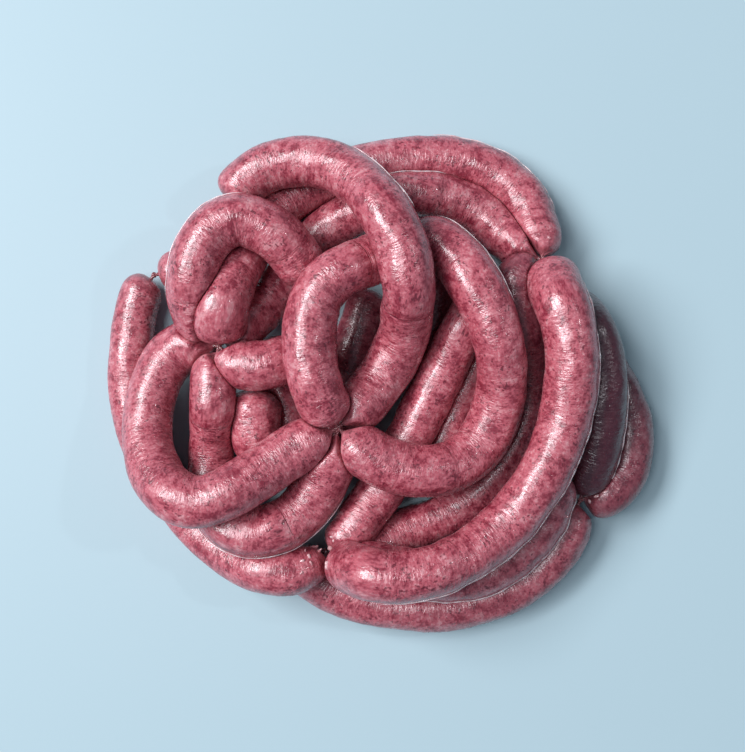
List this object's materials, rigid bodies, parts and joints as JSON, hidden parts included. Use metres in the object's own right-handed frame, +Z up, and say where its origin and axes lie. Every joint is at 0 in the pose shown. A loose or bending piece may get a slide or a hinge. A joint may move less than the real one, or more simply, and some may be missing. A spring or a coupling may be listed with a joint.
{
  "type": "string of raw sausage links",
  "caption": "Raw sausage links in thin casing, joined end to end by small twists, lying coiled over each other in a loose round heap.",
  "frame": {"origin": "middle of the heap's footprint, on the surface that it lies on", "axes": "+X along the heap's longest side, +Y towards its back, +Z up out of the heap"},
  "size_m": [0.2344, 0.2127, 0.0637],
  "materials": {
    "stuffed_casing": "damp thin casing over coarse pinkish red meat",
    "twisted_casing": "damp pale twisted casing"
  },
  "bodies": {
    "root": {"link_top_arch": "stuffed_casing", "link_left_loop": "stuffed_casing", "link_inner_hook": "stuffed_casing", "link_left_bow": "stuffed_casing", "link_left_under": "stuffed_casing", "link_centre_bow": "stuffed_casing", "link_crown_outer": "stuffed_casing", "link_crown_inner": "stuffed_casing", "link_right_hidden": "stuffed_casing", "link_right_bow": "stuffed_casing", "link_short_cross": "stuffed_casing", "link_left_rim": "stuffed_casing", "link_left_tail": "stuffed_casing", "link_deep_left": "stuffed_casing", "link_deep_hook": "stuffed_casing", "link_deep_middle": "stuffed_casing", "link_diagonal": "stuffed_casing", "link_diagonal_under": "stuffed_casing", "link_front_rim": "stuffed_casing", "link_front_inner": "stuffed_casing", "link_right_inner": "stuffed_casing", "link_right_rim": "stuffed_casing", "link_end_stub": "stuffed_casing", "knot_middle": "twisted_casing", "knot_left": "twisted_casing", "knot_right_back": "twisted_casing", "knot_front": "twisted_casing", "knot_left_rim": "twisted_casing", "knot_right_front": "twisted_casing", "knot_back_hidden": "twisted_casing", "knot_right_hidden": "twisted_casing", "knot_under_centre": "twisted_casing", "knot_under_bow": "twisted_casing"}
  },
  "joints": []
}
